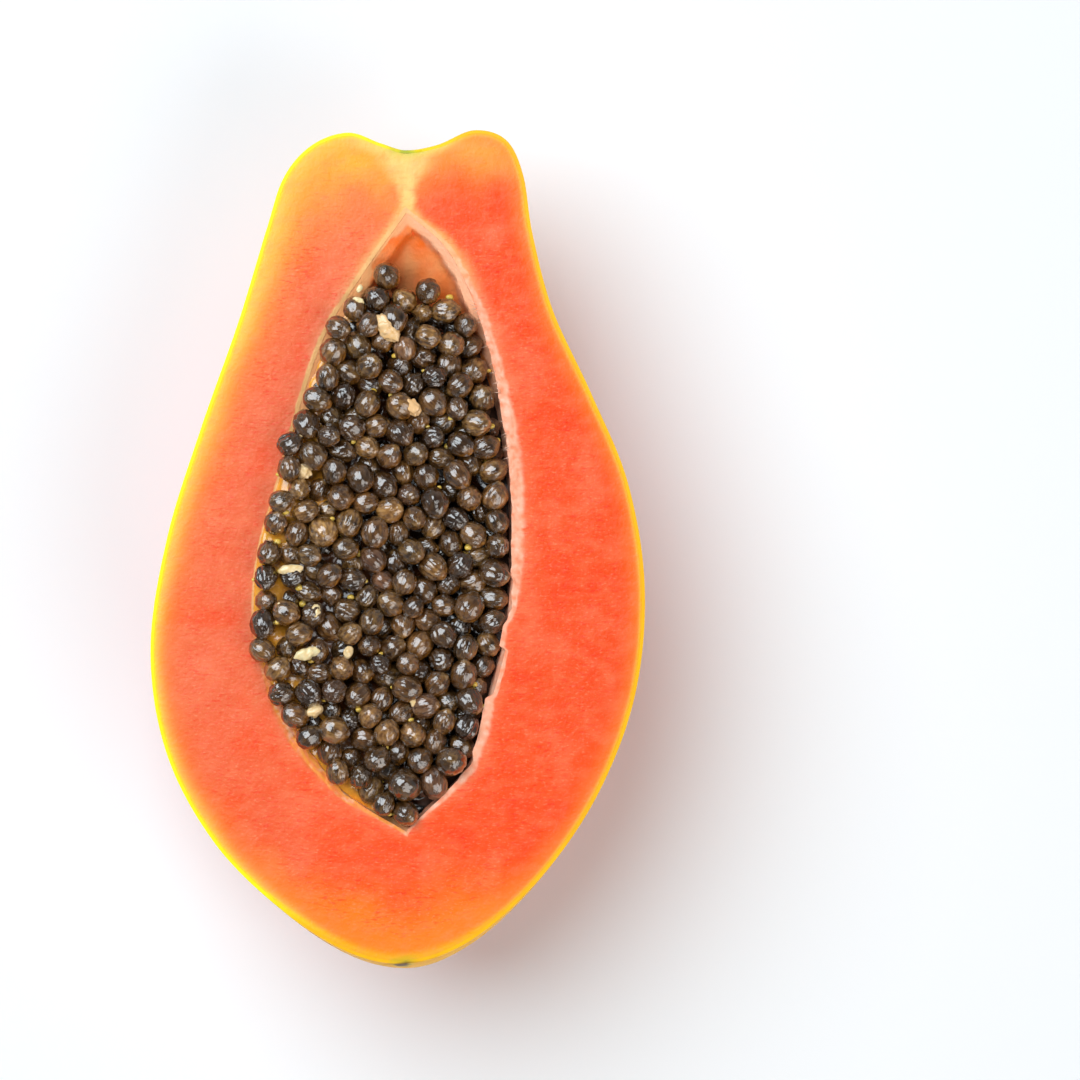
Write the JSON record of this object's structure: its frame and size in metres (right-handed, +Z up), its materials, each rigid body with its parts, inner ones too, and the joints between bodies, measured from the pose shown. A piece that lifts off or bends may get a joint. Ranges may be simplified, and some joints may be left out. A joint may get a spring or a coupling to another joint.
{
  "type": "papaya half",
  "caption": "Half of a ripe papaya, cut lengthwise, lying on its skin with the cut face up and a heap of dark seeds in its cavity.",
  "frame": {"origin": "bottom centre of the whole part's box, on the surface that the half lies on", "axes": "+Z up, out of the cut face; +Y along the fruit towards its stem end; +X to the right as seen from above with the stem end away from the viewer"},
  "size_m": [0.1236, 0.2102, 0.0642],
  "materials": {
    "flesh": "moist orange-coral flesh with a thin yellow and orange skin",
    "seeds": "wet dark brown seeds in grey-olive sacs"
  },
  "bodies": {
    "root": {"papaya_flesh": "flesh", "seed_heap": "seeds"}
  },
  "joints": []
}
